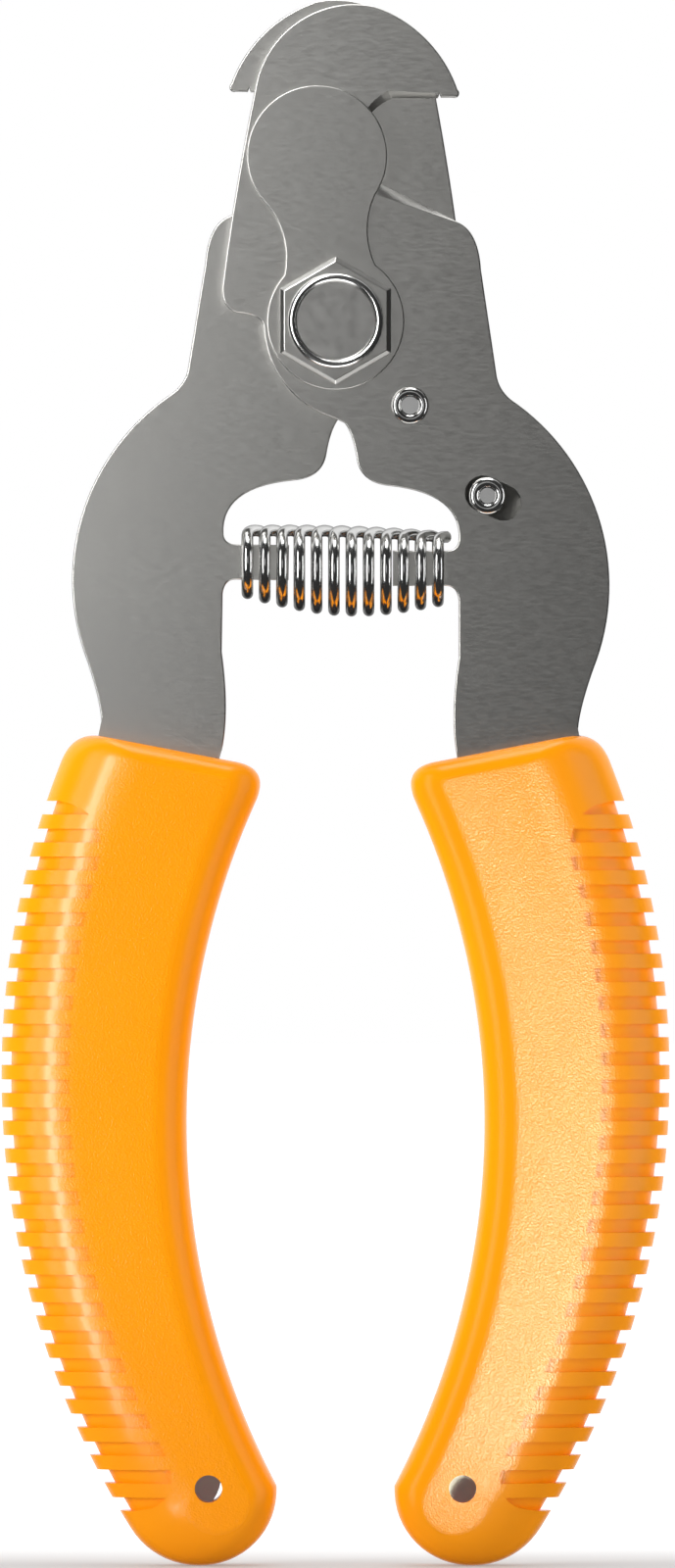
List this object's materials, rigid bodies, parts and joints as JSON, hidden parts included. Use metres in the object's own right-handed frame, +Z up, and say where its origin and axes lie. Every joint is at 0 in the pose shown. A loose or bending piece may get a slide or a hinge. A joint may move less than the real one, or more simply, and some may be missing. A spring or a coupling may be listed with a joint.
{
  "type": "pet nail clipper",
  "caption": "Plier-type pet nail clipper: crossed steel blades on a pivot bolt, swinging guard, barrel spring, sliding lock and ribbed orange grips.",
  "frame": {"origin": "on the surface that the two grip ends stand on, under the middle of the bounding box", "axes": "+Z up from the grip ends to the blades, -Y out of the front (the guard and nut side), +X to the right seen from the front"},
  "size_m": [0.0682, 0.0126, 0.1597],
  "materials": {
    "blade_steel": "satin ground steel",
    "bright_steel": "bright plated steel",
    "grip_vinyl": "semi-gloss orange vinyl, finely grained on its flat faces"
  },
  "bodies": {
    "front": {"front_plate": "blade_steel", "right_grip": "grip_vinyl", "pivot_bolt": "bright_steel", "pivot_nut": "blade_steel", "pivot_washer": "bright_steel", "guide_rivet": "bright_steel", "return_spring": "bright_steel"},
    "rear": {"rear_plate": "blade_steel", "left_grip": "grip_vinyl"},
    "guard": {"nail_guard": "blade_steel"},
    "lock": {"lock_slide": "blade_steel", "lock_stud": "bright_steel", "lock_button": "bright_steel"}
  },
  "joints": [
    {"name": "handles", "type": "hinge", "parent": "front", "child": "rear", "pos_m": [0, 0, 0.1269], "axis": [0, 1, 0], "range_deg": [0, 34], "deforming": ["return_spring"]},
    {"name": "guard_swing", "type": "hinge", "parent": "front", "child": "guard", "pos_m": [0, 0, 0.1269], "axis": [0, 1, 0], "range_deg": [-15, 100]},
    {"name": "lock_slide", "type": "slide", "parent": "front", "child": "lock", "axis": [0.9116, 0, -0.411], "range_m": [-0.0015, 0.0012]}
  ]
}
